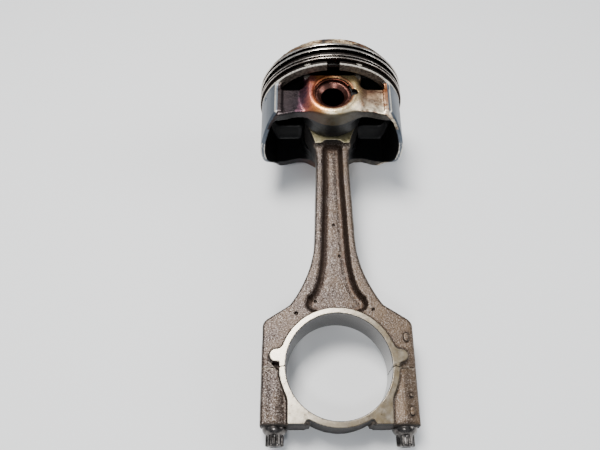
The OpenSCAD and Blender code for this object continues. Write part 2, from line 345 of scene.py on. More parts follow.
def rod_field(x, y, z):
    """The rod and its cap as one forging, machined, bored and drilled."""
    ax, az = np.abs(x), np.abs(z)
    machined = smax(machined_outline(ax, y), az - THRUST_Z - 2, 0.5)
    body = smin(forged_field(x, y, z), machined, 1.6)
    body = smax(body, az - THRUST_Z, 0.35)
    for px, py, pr in PITS:
        depth = FORGED_Z if abs(px) > PIT_ON_BEAM_X else WEB_Z + 1.4
        body = smax(body, pr - np.sqrt((x - px) ** 2 + (y - py) ** 2 + 0.3 * (z - depth) ** 2), 0.4)
    body = smax(body, BORE_R - np.hypot(x, y), 0.5)
    body = smax(body, BUSH_R - np.hypot(x, y - L), 0.4)
    bolt = smax(np.hypot(ax - BOLT_X, z) - BOLT_HOLE_R, y - BOLT_HOLE_TOP_Y, 0.3)
    body = smax(body, -bolt, 0.3)
    nick = smax(box(x, y, z, *NICK), (-x - y) * 0.7 - 21.6, 0.5)
    return smax(body, -nick, 0.5)


def split_height(x, z):
    """The fractured parting surface: a rough, nearly flat sheet."""
    waves = np.sin(1.9 * x + 1.3 * z) + np.sin(0.83 * x - 2.1 * z + 1.0)
    waves = waves + np.sin(3.7 * x + 0.6 * z + 2.0)
    return PARTING_Y + SPLIT_WAVE * waves / 2


def upper_rod(x, y, z):
    """The rod above the fractured parting surface."""
    return smax(rod_field(x, y, z), split_height(x, z) + SPLIT_GAP - y, 0.15)


def cap(x, y, z):
    """The cap below the fractured parting surface."""
    return smax(rod_field(x, y, z), y - split_height(x, z) + SPLIT_GAP, 0.15)


# ---------------------------------------------------------------- the piston's field
def head_field(x, a, z):
    """The land cylinder with a hollow under it and the raised, relieved crown on top."""
    r = np.hypot(x, z)
    head = smax(r - LAND_R, a - CROWN_A, 0.6)
    head = smax(head, BELT_A - a, 0.5)
    hollow = smax(r - BELT_INNER_R, a - UNDER_A, 6.0)
    head = smax(head, -hollow, 1.2)
    plateau = smax(r - PLATEAU_R, np.abs(a - CROWN_A) - (PLATEAU_A - CROWN_A), 0.7)
    head = smin(head, plateau, 0.5)
    for at_x, at_z, radius in RELIEFS:
        floor = PLATEAU_A - RELIEF_DEPTH - a + RELIEF_SLOPE * np.abs(z)
        relief = smax(np.hypot(x - at_x, z - at_z) - radius, floor, 0.5)
        head = smax(head, -relief, 0.8)
    return head


def skirt_field(x, a, z):
    """Two shells, cut back diagonally towards their lower ends."""
    az = np.abs(z)
    skirt = np.abs(np.hypot(x, z) - (SKIRT_R - SKIRT_T / 2)) - SKIRT_T / 2
    slope = (az - SKIRT_FLAT_Z) * 0.51 + (-a + SKIRT_A) * 0.86
    skirt = smax(skirt, smax(SKIRT_A - a, slope, 3.0), 0.7)
    skirt = smax(skirt, az - PANEL_Z - 0.5, 0.7)
    return smax(skirt, a - SKIRT_TOP_A, 0.5)


def wall_field(x, a, z):
    """The side panels with their pin bosses, and the pillars that carry these to the crown.

    The panels lean inwards as they rise into the cast pockets behind the belt.
    """
    ax, az = np.abs(x), np.abs(z)
    ceiling = a - UNDER_A - 2
    panel_face = PANEL_Z - PANEL_LEAN * ramp(a, 4.0, 9.5)
    low = PANEL_A - 2.2 * ramp(ax, 19.0, 31.0)
    panel = np.maximum(panel_face - PANEL_T - az, low - a)
    panel = smax(panel, np.maximum(np.hypot(x, z) - SKIRT_R + 1.2, ceiling), 0.5)
    round_boss = np.hypot(x, a) - BOSS_R - BOSS_TAPER * (BOSS_Z - az)
    pillar = smax(ax - PILLAR_X, np.maximum(-a, ceiling), 1.0)
    boss = smin(round_boss, pillar, 3.0)
    swell = 1 - ramp(np.hypot(x, np.minimum(a, 0)), *SWELL)
    swell = swell * (1 - ramp(a, 11.5, 16.0))
    face = panel_face + (BOSS_Z - panel_face) * swell
    walls = smin(panel, smax(boss, BOSS_IN_Z - az, 0.8), 4.0)
    return smax(walls, az - face, 1.0)


def cut_pin_bore(body, x, a, z):
    """Cuts the pin's bore with its mouth, and a clip's groove and removal notch at each end."""
    az = np.abs(z)
    pin_r = np.hypot(x, a)
    body = smax(body, PIN_R + 0.02 - pin_r, 0.3)
    mouth = (pin_r - PIN_R - 0.9 + (BOSS_Z - az)) * 0.71
    body = smax(body, -np.maximum(mouth, np.abs(az - BOSS_Z) - 2.0), 0.2)
    clip_groove = np.maximum(pin_r - PIN_R - CLIP_WIRE_R, np.abs(az - CLIP_Z) - 0.8)
    body = smax(body, -clip_groove, 0.2)
    notch = np.maximum(np.hypot((x - PIN_R - 0.9) * 0.8, a) - NOTCH_R, np.abs(az - BOSS_Z) - 3.2)
    return smax(body, -notch, 0.3)


def piston_field(x, y, z):
    """The piston, with its skirts, panels, bosses and ring belt."""
    a = y - L
    r = np.hypot(x, z)
    body = smin(skirt_field(x, a, z), wall_field(x, a, z), 1.6)
    kx, ka, kz = KNOB
    knob = np.sqrt((np.abs(x) - kx) ** 2 + (a - ka) ** 2 + (np.abs(z) - kz) ** 2) - KNOB_R
    body = smin(body, knob, 2.0)
    body = smin(body, head_field(x, a, z), 2.5)
    body = smax(body, r - SKIRT_R, 0.3)
    for base, width in GROOVES:
        groove = np.maximum(GROOVE_R - r, np.abs(a - base - width / 2) - width / 2)
        body = smax(body, -groove, 0.2)
    body = cut_pin_bore(body, x, a, z)
    slot = box(x, a, np.abs(z), (-SLOT_X, 7.0, BELT_INNER_R - 0.8), (SLOT_X, 12.2, SKIRT_R + 3.0))
    body = smax(body, -slot, 0.5)
    drain = np.hypot(z - DRAIN[1], a - DRAIN[0]) - DRAIN_R
    return smax(body, -np.maximum(drain, x + 30.0), 0.3)


# ---------------------------------------------------------------- meshing
EDGES = [
    ((0, 0, 0), (1, 0, 0)), ((0, 1, 0), (1, 1, 0)), ((0, 0, 1), (1, 0, 1)), ((0, 1, 1), (1, 1, 1)),
    ((0, 0, 0), (0, 1, 0)), ((1, 0, 0), (1, 1, 0)), ((0, 0, 1), (0, 1, 1)), ((1, 0, 1), (1, 1, 1)),
    ((0, 0, 0), (0, 0, 1)), ((1, 0, 0), (1, 0, 1)), ((0, 1, 0), (0, 1, 1)), ((1, 1, 0), (1, 1, 1)),
]


def gradient(field, p, h=0.08):
    """The field's slope at points p."""
    out = np.empty_like(p)
    for axis in range(3):
        d = np.zeros(3)
        d[axis] = h
        out[:, axis] = (field(*(p + d).T) - field(*(p - d).T)) / (2 * h)
    return out


def unit_rows(v):
    """Rows scaled to length one."""
    return v / np.maximum(np.linalg.norm(v, axis=1, keepdims=True), 1e-9)


def net_points(d, idx):
    """Where the surface passes each cell: the mean of its crossings with the cell's edges."""
    total = np.zeros((len(idx), 3))
    hits = np.zeros(len(idx))
    for start, end in EDGES:
        da = d[tuple((idx + start).T)]
        db = d[tuple((idx + end).T)]
        crosses = (da < 0) != (db < 0)
        t = np.where(crosses, da / np.where(crosses, da - db, 1), 0)
        point = np.array(start) + t[:, None] * (np.array(end) - np.array(start))
        total += point * crosses[:, None]
        hits += crosses
    return idx + total / hits[:, None]


def net_quads(inside, number):
    """A quad round each grid edge that the surface crosses, facing outwards."""
    quads = []
    for axis in range(3):
        first = [slice(1, None)] * 3
        first[axis] = slice(0, -1)
        grid = np.argwhere(inside[tuple(first)] != inside[1:, 1:, 1:]) + 1
        grid[:, axis] -= 1
        grid = grid[np.all(grid < np.array(number.shape), axis=1)]
        eu, ev = np.eye(3, dtype=int)[(axis + 1) % 3], np.eye(3, dtype=int)[(axis + 2) % 3]
        corners = [number[tuple((grid - back).T)] for back in (0 * eu, eu, eu + ev, ev)]
        quad = np.stack(corners, axis=1)
        flip = ~inside[tuple(grid.T)]
        quad[flip] = quad[flip][:, ::-1]
        quads.append(quad)
    return np.concatenate(quads)


def surface(field, low, high):
    """Points and quads of the field's zero surface inside a box, by surface nets."""
    x, y, z = (np.arange(lo, hi + STEP, STEP) for lo, hi in zip(low, high))
    d = field(x[:, None, None], y[None, :, None], z[None, None, :])
    d = np.broadcast_to(d, (len(x), len(y), len(z))).astype(np.float32)
    inside = d < 0
    cells = tuple(n - 1 for n in d.shape)
    count = np.zeros(cells, np.int8)
    for c in np.ndindex(2, 2, 2):
        count += inside[tuple(slice(o, o + n) for o, n in zip(c, cells))]
    idx = np.argwhere((count > 0) & (count < 8))
    number = np.full(cells, -1, np.int64)
    number[tuple(idx.T)] = np.arange(len(idx))
    quads = net_quads(inside, number)

    p = np.array([x[0], y[0], z[0]]) + STEP * net_points(d, idx)
    for _ in range(3):
        g = gradient(field, p)
        shift = field(*p.T)[:, None] * g / np.maximum((g * g).sum(1, keepdims=True), 0.25)
        p = p - np.clip(shift, -STEP / 2, STEP / 2)
    return p, quads


def new_mesh(name, p, faces, normals=None):
    """A mesh object from points in millimetres in the rod's frame."""
    turn = np.array(ROD_FRAME.to_3x3())
    mesh = bpy.data.meshes.new(name)
    placed = p @ turn.T * MM + np.array(bore_at)
    mesh.from_pydata(placed.tolist(), [], faces.tolist() if isinstance(faces, np.ndarray) else faces)
    mesh.polygons.foreach_set("use_smooth", np.ones(len(mesh.polygons), bool))
    if normals is None:
        mesh.set_sharp_from_angle(angle=math.radians(SHARP_ANGLE))
    else:
        mesh.normals_split_custom_set_from_vertices((normals @ turn.T).tolist())
    piece = bpy.data.objects.new(name, mesh)
    bpy.context.scene.collection.objects.link(piece)
    return piece


def paint(piece, **masks):
    """Stores one number per point under each name, for the materials."""
    for name, values in masks.items():
        layer = piece.data.attributes.new(name, "FLOAT", "POINT")
        layer.data.foreach_set("value", np.asarray(values, np.float32))


def solid(name, field, low, high, lumps):
    """A meshed field. lumps(p, normal) gives how far each point is pushed out, in millimetres."""
    p, quads = surface(field, low, high)
    normal = unit_rows(gradient(field, p, 0.12))
    edge = np.clip(1 + field(*(p - 0.7 * normal).T) / 0.7, 0, 1)
    # How deep each point sits in a crease or recess, used for painted shade there
    cavity = np.clip(1 - field(*(p + 1.2 * normal).T) / 1.2, 0, 1)
    place = p.copy()
    p = p + lumps(p, normal)[:, None] * normal
    piece = new_mesh(name, p, quads, normal)
    paint(piece, edge=edge, cavity=cavity)
    return piece, place, normal


def lathe(name, profile, axis_y, centre, segments=160, start=0.0, end=360.0, radius=None):
    """A turned piece. profile lists (radius, height); the axis runs along +Y or along +Z."""
    closed = abs(end - start - 360) < 1e-6
    columns = segments if closed else segments + 1
    angles = np.radians(start + (end - start) * np.arange(columns) / segments)
    profile = np.array(profile, float)
    rows = len(profile)
    t, i = np.meshgrid(angles, np.arange(rows), indexing="ij")
    r, h = profile[i, 0], profile[i, 1]
    if radius is not None:
        r = radius(r, h, t)
    u, v = r * np.cos(t), r * np.sin(t)
    xyz = np.stack([u, h, v], -1) if axis_y else np.stack([u, v, h], -1)
    p = xyz.reshape(-1, 3) + np.array(centre)
    faces = []
    for c in range(segments):
        d = (c + 1) % columns
        for k in range(rows):
            n = (k + 1) % rows
            quad = [c * rows + k, c * rows + n, d * rows + n, d * rows + k]
            faces.append(quad if axis_y else quad[::-1])
    if not closed:
        ends = [list(range(rows)), [(columns - 1) * rows + k for k in range(rows)]]
        faces.append(ends[0][::-1] if axis_y else ends[0])
        faces.append(ends[1] if axis_y else ends[1][::-1])
    piece = new_mesh(name, p, faces)
    paint(piece, radius=r.reshape(-1))
    return piece


def rounded_section(r0, r1, h0, h1, bevel):
    """A rectangle with small bevelled corners, for lathe()."""
    return [
        (r0 + bevel, h0), (r1 - bevel, h0), (r1 - bevel * 0.3, h0 + bevel * 0.3), (r1, h0 + bevel),
        (r1, h1 - bevel), (r1 - bevel * 0.3, h1 - bevel * 0.3), (r1 - bevel, h1), (r0 + bevel, h1),
        (r0 + bevel * 0.3, h1 - bevel * 0.3), (r0, h1 - bevel), (r0, h0 + bevel),
        (r0 + bevel * 0.3, h0 + bevel * 0.3),
    ]


# ---------------------------------------------------------------- material building
class Shader:
    """One material's node tree, with short calls for the nodes it needs."""

    def __init__(self, name):
        self.material = bpy.data.materials.new(name)
        self.material.use_nodes = True
        self.tree = self.material.node_tree
        self.tree.nodes.clear()
        output = self.tree.nodes.new("ShaderNodeOutputMaterial")
        self.bsdf = self.tree.nodes.new("ShaderNodeBsdfPrincipled")
        self.tree.links.new(self.bsdf.outputs["BSDF"], output.inputs["Surface"])

    def put(self, node, key, value):
        socket = node.inputs[key]
        if isinstance(value, bpy.types.NodeSocket):
            self.tree.links.new(value, socket)
        else:
            socket.default_value = value

    def node(self, kind, inputs=None, **settings):
        node = self.tree.nodes.new("ShaderNode" + kind)
        for key, value in settings.items():
            setattr(node, key, value)
        for key, value in (inputs or {}).items():
            self.put(node, key, value)
        return node

    def set(self, **values):
        for key, value in values.items():
            self.put(self.bsdf, key.replace("_", " "), value)

    def place(self, scale=(1, 1, 1)):
        """The rod frame's coordinates in millimetres, times a scale."""
        where = self.node("TexCoord").outputs["Object"]
        turned = self.node("VectorRotate", {"Vector": where, "Angle": -TILT}, rotation_type="X_AXIS")
        grow = tuple(s / MM for s in scale)
        return self.node("VectorMath", {0: turned.outputs[0], 1: grow}, operation="MULTIPLY").outputs[0]

    def noise(self, size, detail=3.0, rough=0.55, stretch=(1, 1, 1), seed=0.0):
        """Noise whose lumps are size millimetres across."""
        scale = tuple(s / size for s in stretch)
        return self.node(
            "TexNoise",
            {"Vector": self.place(scale), "Scale": 1.0, "Detail": detail, "Roughness": rough, "W": seed},
            noise_dimensions="4D",
        ).outputs[0]

    def mask(self, name):
        return self.node("Attribute", attribute_name=name).outputs["Fac"]

    def math(self, operation, a, b=0.0, c=0.0):
        node = self.node("Math", operation=operation, use_clamp=False)
        for i, value in enumerate((a, b, c)):
            self.put(node, i, value)
        return node.outputs[0]

    def fit(self, value, low, high, to_low=0.0, to_high=1.0):
        """value's stretch from low to high, laid onto to_low to to_high."""
        return self.node(
            "MapRange",
            {"Value": value, "From Min": low, "From Max": high, "To Min": to_low, "To Max": to_high},
            clamp=True,
        ).outputs[0]

    def mix(self, factor, a, b):
        node = self.node("Mix", data_type="RGBA", clamp_factor=True)
        self.put(node, 0, factor)
        self.put(node, 6, a)
        self.put(node, 7, b)
        return node.outputs[2]

    def blend(self, factor, a, b):
        node = self.node("Mix", data_type="FLOAT", clamp_factor=True)
        self.put(node, 0, factor)
        self.put(node, 2, a)
        self.put(node, 3, b)
        return node.outputs[0]

    def ramp(self, value, stops):
        """A colour ramp. stops lists (position, colour)."""
        node = self.node("ValToRGB", {"Fac": value})
        elements = node.color_ramp.elements
        while len(elements) < len(stops):
            elements.new(0.5)
        for element, (position, colour) in zip(elements, stops):
            element.position = position
            element.color = colour
        return node.outputs["Color"]

    def bump(self, height, strength, distance):
        """distance is the height's full swing in millimetres."""
        inputs = {"Height": height, "Strength": strength, "Distance": distance * MM}
        return self.node("Bump", inputs).outputs[0]


def rgb(r, g, b):
    """A colour from plain 0-255 display values."""
    return tuple((v / 255) ** 2.2 for v in (r, g, b)) + (1.0,)


# ---------------------------------------------------------------- materials
def forged_colour(s, x, speck):
    """Blasted scale: grey-brown grain, lighter on its edges; painted shade darkens the pocket walls,
    creases and recesses, the cap's undersides and the rod inside the piston.
    """
    patch = s.noise(9.0, 4.0, 0.6, seed=5.0)
    colour = s.ramp(
        speck,
        [
            (0.40, rgb(22, 19, 18)), (0.49, rgb(58, 52, 50)), (0.57, rgb(90, 82, 79)),
            (0.67, rgb(168, 160, 154)),
        ],
    )
    warm = s.math("ADD", s.fit(patch, 0.35, 0.7, 0.0, 0.3), s.fit(x, -6.0, 34.0, 0.0, 0.35))
    colour = s.mix(warm, colour, rgb(96, 80, 62))
    # Painted shade: darker on the pocket's walls, and in creases and recesses
    colour = s.mix(s.fit(s.mask("wall"), 0.1, 1.0, 0.0, 0.58), colour, rgb(58, 42, 32))
    colour = s.mix(s.fit(s.mask("cavity"), 0.05, 0.75, 0.0, 0.8), colour, rgb(34, 24, 18))
    colour = s.mix(s.fit(s.mask("edge"), 0.25, 0.7, 0.0, 0.35), colour, rgb(190, 178, 160))
    # Painted shade: near-black on the cap's downward faces and on the rod inside the piston
    return s.mix(s.mask("oil"), colour, rgb(20, 16, 14))


def turned_colour(s, x, y, streak):
    """Turned faces: a painted highlight on the left fading to painted shade towards the right and the
    bottom; mottled and stained towards the right.
    """
    across = s.math("MULTIPLY_ADD", y, -0.35, x)
    colour = s.mix(s.fit(streak, 0.3, 0.7), rgb(168, 158, 142), rgb(214, 205, 188))
    # Painted highlight and shade: lighter on the left, darker towards the right and the bottom
    colour = s.mix(s.fit(across, -16.0, 12.0, 0.0, 0.85), colour, rgb(104, 98, 89))
    mottle = s.fit(s.noise(2.2, 5.0, 0.75, seed=12.0), 0.42, 0.6)
    mottle = s.math("MULTIPLY", s.fit(across, 4.0, 26.0), mottle)
    colour = s.mix(s.math("MULTIPLY", mottle, 0.6), colour, rgb(72, 62, 52))
    stain = s.fit(s.noise(4.0, 5.0, 0.7, seed=2.0), 0.34, 0.62)
    stain = s.math("MULTIPLY", s.fit(across, -18.0, 14.0, 0.1, 1.0), stain)
    colour = s.mix(s.math("MULTIPLY", stain, 0.7), colour, rgb(96, 84, 60))
    return s.mix(s.math("MULTIPLY", s.mask("eye_face"), 0.75), colour, rgb(104, 98, 54))


def steel_forging():
    """Blasted forging with bright turned faces, and painted shade in its hollows and under the cap."""
    s = Shader("forged_steel")
    grain = s.noise(0.75, 2.0, 0.6)
    fine = s.noise(0.38, 1.0, 0.5, seed=3.0)
    streak = s.noise(1.6, 3.0, 0.55, seed=8.0)
    where = s.node("SeparateXYZ", {0: s.place()})
    x, y = where.outputs[0], where.outputs[1]
    speck = s.math("MULTIPLY_ADD", fine, 0.45, s.math("MULTIPLY", grain, 0.6))
    machined = s.math("ADD", s.mask("machined"), s.fit(streak, 0, 1, -0.12, 0.12))
    machined = s.fit(machined, 0.4, 0.6)
    bore = s.mask("bore")
    colour = s.mix(machined, forged_colour(s, x, speck), turned_colour(s, x, y, streak))
    colour = s.mix(bore, colour, rgb(96, 94, 92))
    rough = s.fit(grain, 0.3, 0.7, 0.30, 0.55)
    rough = s.blend(machined, rough, s.fit(streak, 0.3, 0.7, 0.26, 0.42))
    rough = s.blend(bore, rough, 0.2)
    rough = s.blend(s.mask("oil"), rough, 0.6)

    radius = s.math("SQRT", s.math("ADD", s.math("MULTIPLY", x, x), s.math("MULTIPLY", y, y)))
    tool_marks = s.math("SINE", s.math("MULTIPLY", radius, 21.0))
    normal = s.node("Mix", data_type="VECTOR", clamp_factor=True)
    s.put(normal, 0, s.math("MAXIMUM", machined, bore))
    s.put(normal, 4, s.bump(speck, 0.9, 0.26))
    s.put(normal, 5, s.bump(tool_marks, 0.25, 0.012))
    metal = s.blend(s.mask("oil"), 0.82, 0.3)
    s.set(Base_Color=colour, Metallic=metal, Roughness=rough, Normal=normal.outputs[1])
    s.set(Specular_IOR_Level=0.35)
    return s.material


def varnish_colour(s, x, grime, wisp, cloud):
    """Varnish on the panels: dark and purple left of the boss, gold round it, tan beyond."""
    drift = s.math("MULTIPLY_ADD", s.math("SUBTRACT", grime, 0.5), 9.0, x)
    tone = s.math("ADD", drift, s.math("MULTIPLY", s.mask("below"), 3.0))
    varnish = s.ramp(
        s.fit(tone, -32.0, 32.0),
        [
            (0.00, rgb(52, 46, 46)), (0.20, rgb(40, 34, 38)), (0.25, rgb(86, 58, 70)),
            (0.31, rgb(150, 88, 80)), (0.38, rgb(196, 122, 70)), (0.47, rgb(214, 160, 92)),
            (0.56, rgb(226, 200, 144)), (0.70, rgb(200, 172, 124)), (0.77, rgb(132, 104, 82)),
            (1.00, rgb(168, 142, 116)),
        ],
    )
    brown = s.math("MULTIPLY", s.fit(cloud, 0.42, 0.58), s.fit(x, 14.0, 22.0))
    varnish = s.mix(s.math("MULTIPLY", brown, 0.9), varnish, rgb(66, 38, 30))
    drip = s.math("MULTIPLY", s.fit(x, 28.0, 29.6), s.fit(x, 32.4, 31.0))
    varnish = s.mix(s.math("MULTIPLY", drip, 0.6), varnish, rgb(150, 84, 40))
    varnish = s.mix(s.fit(wisp, 0.54, 0.68, 0.0, 0.5), varnish, rgb(36, 24, 22))
    pale = s.math("MULTIPLY", s.mask("below"), s.fit(grime, 0.40, 0.54))
    pale = s.math("MULTIPLY", pale, s.fit(x, -9.0, 0.0, 0.0, 0.6))
    varnish = s.mix(pale, varnish, rgb(236, 226, 200))
    return s.mix(s.fit(s.mask("rim"), 0.1, 0.8, 0.0, 0.85), varnish, rgb(112, 56, 38))


def burnt_colour(s, x, colour, grime, wisp, cloud):
    """Lays rusty carbon with flakes of pale ash over the crown."""
    rust = s.mix(s.fit(grime, 0.45, 0.62), rgb(20, 15, 13), rgb(92, 64, 44))
    ash = s.mix(s.fit(wisp, 0.4, 0.6), rgb(120, 92, 64), rgb(206, 190, 158))
    colour = s.mix(s.mask("crown"), colour, rust)
    towards_rim = s.fit(s.math("ABSOLUTE", x), 8.0, 20.0, 1.0, 0.3)
    flake = s.math("MULTIPLY", s.fit(cloud, 0.45, 0.56), towards_rim)
    flake = s.math("MULTIPLY", flake, s.blend(s.mask("plateau"), 1.0, 0.35))
    return s.mix(s.math("MULTIPLY", s.mask("crown"), flake), colour, ash)


def piston_alloy():
    """Cast alloy: satin skirts with a bluish tint that is partly a painted reflection, varnish-stained
    panels, carbon on the belt and crown, and a near-black inside: the oily hollow, and painted shade in
    the pockets, under the bosses and in the pin's bore.
    """
    s = Shader("piston_alloy")
    x = s.node("SeparateXYZ", {0: s.place()}).outputs[0]
    grime = s.noise(3.0, 5.0, 0.65)
    wisp = s.noise(1.1, 4.0, 0.6, seed=4.0)
    cloud = s.noise(7.0, 4.0, 0.6, (0.6, 2.2, 1), 9.0)
    brushed = s.fit(s.noise(6.0, 2.0, 0.5, (1, 0.2, 1), 6.0), 0.3, 0.7)

    # Bluish grey: the alloy's own grey with a painted reflection of a blue surround
    skirt = s.mix(brushed, rgb(64, 70, 78), rgb(94, 101, 110))
    black = s.mix(s.fit(wisp, 0.35, 0.7), rgb(12, 10, 9), rgb(38, 31, 28))
    dull = s.mix(s.fit(wisp, 0.35, 0.6), rgb(34, 28, 26), rgb(92, 84, 76))
    colour = s.mix(s.mask("panel"), skirt, varnish_colour(s, x, grime, wisp, cloud))
    colour = s.mix(s.mask("carbon"), colour, black)
    colour = burnt_colour(s, x, colour, grime, wisp, cloud)
    # Light on the exposed machined edges of the belt's lip and the skirts' tips, and painted highlights
    # on the knobs and the skirts' side edges
    bare_and_glint_edges = s.math("MULTIPLY", s.mask("bare"), s.fit(wisp, 0.32, 0.5, 0.35, 1.0))
    colour = s.mix(bare_and_glint_edges, colour, rgb(226, 220, 208))
    colour = s.mix(s.mask("grey"), colour, dull)
    # Near-black inside: the oily hollow, with painted shade in the pockets, under the bosses and in the
    # pin's bore and notch
    colour = s.mix(s.mask("inside"), colour, rgb(10, 10, 12))

    rough = s.blend(s.mask("panel"), 0.44, s.fit(grime, 0.3, 0.7, 0.22, 0.42))
    rough = s.blend(s.mask("carbon"), rough, s.fit(wisp, 0.3, 0.7, 0.3, 0.6))
    rough = s.blend(s.mask("inside"), rough, 0.5)
    metal = s.blend(s.math("MAXIMUM", s.mask("carbon"), s.mask("crown")), 0.8, 0.2)
    metal = s.blend(s.mask("inside"), metal, 0.2)
    lumps = s.math("MULTIPLY", wisp, s.math("MAXIMUM", s.mask("crown"), s.mask("panel")))
    s.set(Base_Color=colour, Metallic=metal, Roughness=rough, Normal=s.bump(lumps, 0.5, 0.22))
    s.set(Specular_IOR_Level=0.35, Coat_Weight=0.08, Coat_Roughness=0.2)
    return s.material


def worn_steel(name, dark, light, size, rough, bright_from=None, inside=None):
    """Steel that runs between two colours, with streaks of a given size.

    Where bright_from is given, in millimetres, the steel has the inside colour up to that radius.
    """
    s = Shader(name)
    streak = s.noise(size, 4.0, 0.6)
    fine = s.noise(size / 4, 3.0, 0.55, seed=2.0)
    colour = s.mix(s.fit(streak, 0.34, 0.66), dark, light)
    if bright_from is not None:
        beyond = s.fit(s.mask("radius"), bright_from - 0.12, bright_from + 0.12)
        colour = s.mix(beyond, inside, colour)
    s.set(Base_Color=colour, Metallic=0.95, Roughness=s.fit(fine, 0.3, 0.7, *rough))
    s.set(Normal=s.bump(fine, 0.4, 0.05))
    return s.material


def floor_paint():
    """A plain pale backdrop."""
    s = Shader("floor")
    s.set(Base_Color=rgb(226, 228, 230), Roughness=0.75)
    return s.material


FORGING = steel_forging()
ALLOY = piston_alloy()
BOLT = worn_steel("bolt_steel", rgb(44, 41, 40), rgb(112, 108, 105), 2.5, (0.16, 0.3))
RING = worn_steel(
    "ring_steel", rgb(168, 158, 148), rgb(238, 232, 224), 9.0, (0.16, 0.3), RING_R - 0.3, rgb(26, 21, 19)
)
RAIL = worn_steel(
    "rail_steel", rgb(130, 120, 112), rgb(216, 208, 200), 6.0, (0.2, 0.34), RING_R - 0.25, rgb(34, 28, 26)
)
STRIP = worn_steel("expander_steel", rgb(60, 52, 48), rgb(128, 118, 110), 2.0, (0.25, 0.45))
# The pin's hole is near-black: painted shade inside its bore
PIN = worn_steel(
    "pin_steel", rgb(66, 40, 36), rgb(118, 82, 74), 3.0, (0.22, 0.4), PIN_HOLE_R + 0.25, rgb(7, 6, 6)
)
CLIP = worn_steel("clip_steel", rgb(52, 30, 26), rgb(112, 66, 52), 1.2, (0.22, 0.4))
BUSH = worn_steel("bush_bronze", rgb(112, 98, 58), rgb(158, 146, 92), 1.6, (0.25, 0.45))


def dress(piece, material, body, slot, *nodes):
    """Gives a piece its material, ties it to its body and hides the CAD nodes it stands for."""
    piece.data.materials.append(material)
    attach(piece, body)
    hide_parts(*nodes)
    return piece


# ---------------------------------------------------------------- connecting rod and cap
def paint_rod(piece, p, normal):
    """Marks the faces that are machined, the bores, and the painted shade on the pocket's walls, under
    the cap and on the rod inside the piston.
    """
    x, y, az = np.abs(p[:, 0]), p[:, 1], np.abs(p[:, 2])
    r = np.hypot(x, y)
    eye = np.hypot(x, y - L)
    top = (az > THRUST_Z - 0.5) & (np.abs(normal[:, 2]) > 0.6)
    inner = (np.abs(r - BORE_R) < 0.4) | (np.abs(eye - BUSH_R) < 0.4)
    rim = POCKET_OUTLINE(x, y)
    pocket = (rim < 0.3) & (az < FORGED_Z - 0.4)
    # Painted shade on the pocket's walls, fading towards the middle of its floor
    wall = pocket * (1 - 0.85 * ramp(-rim, 1.6, 4.8))
    # Painted shade: the cap's downward faces and the rod inside the piston are painted dark
    under_cap = ramp(-normal[:, 1], 0.4, 0.8) * (y < -10) * (r > BORE_R + 0.5)
    in_piston = ramp(y, L - 21.5, L - 18.5) * ~top + ramp(y, L - 30.0, L - 22.0) * (az < 6.8) * ~pocket
    paint(
        piece,
        machined=top,
        bore=inner,
        wall=wall,
        oil=np.clip(0.92 * under_cap + in_piston, 0, 1) * ~inner,
        eye_face=top * ramp(y, 100.0, 110.0),
    )


def forging_lumps(p, normal):
    """The slight waves of a forged surface; machined faces stay flat."""
    r = np.hypot(p[:, 0], p[:, 1])
    eye = np.hypot(p[:, 0], p[:, 1] - L)
    machined = (np.abs(p[:, 2]) > THRUST_Z - 0.4) | (r < BORE_R + 0.5) | (eye < BUSH_R + 0.5)
    machined |= np.abs(p[:, 1]) < 1.0
    waves = 0.10 * noise(p / 4.0) + 0.05 * noise(p / 1.4 + 9.0)
    return np.where(machined, 0.0, waves)


def make_rod():
    shaft, p, normal = solid(
        "rod_forging", upper_rod, (-39, -2, -12.5), (39, L + EYE_R + 2, 12.5), forging_lumps
    )
    paint_rod(shaft, p, normal)
    dress(shaft, FORGING, "rod", "forged_steel", "connecting_rod")
    lower, p, normal = solid("cap_forging", cap, (-39, -31, -12.5), (39, 2, 12.5), forging_lumps)
    paint_rod(lower, p, normal)
    dress(lower, FORGING, "rod", "forged_steel", "rod_cap")


# ---------------------------------------------------------------- bolts, bush, pin and clips
FLANGE_T = 3.7
HEAD_T = 5.2
HEAD_R = 4.3
LOBE_DEPTH = 0.85


def bolt_profile():
    """Radius against height along the bolt, from the shank's tip to the head."""
    seat = CAP_Y
    under = seat - FLANGE_T
    end = under - HEAD_T
    shank = [(0.01, 19.0), (3.1, 19.0), (3.8, 18.2), (3.8, seat + 0.4), (4.0, seat), (5.7, seat)]
    dome = [(6.0, seat - 0.25), (6.0, seat - 1.0)]
    dome += [(6.0 - 1.5 * t * t, seat - 1.0 - (FLANGE_T - 1.0) * t) for t in np.linspace(0.15, 1, 6)]
    side = [(HEAD_R, h) for h in np.linspace(under - 0.2, end + 0.6, 7)]
    top = [(HEAD_R - 0.2, end + 0.25), (HEAD_R - 0.7, end), (2.4, end + 0.02), (2.2, end + 0.3)]
    return shank + dome + side + top + [(0.01, end + 0.3)]


def lobes(r, h, angle):
    """Six rounded lobes on the head, fading into the flange."""
    on_head = ramp(-h, FLANGE_T - CAP_Y - 0.1, FLANGE_T - CAP_Y + 0.5) * (r > 2.5)
    groove = (0.5 - 0.5 * np.cos(6 * angle)) ** 1.5
    return r - on_head * LOBE_DEPTH * groove * r / HEAD_R


def make_bolt(side, name):
    piece = lathe(name + "_bolt", bolt_profile(), True, (side * BOLT_X, 0, 0), 96, radius=lobes)
    dress(piece, BOLT, "rod", "bolt_steel", name)


def make_bush():
    section = rounded_section(PIN_R + 0.03, BUSH_R, -THRUST_Z, THRUST_Z, 0.5)
    bush = lathe("eye_bush", section, False, (0, L, 0))
    dress(bush, BUSH, "rod", "bush_bronze", "small_end_bush")


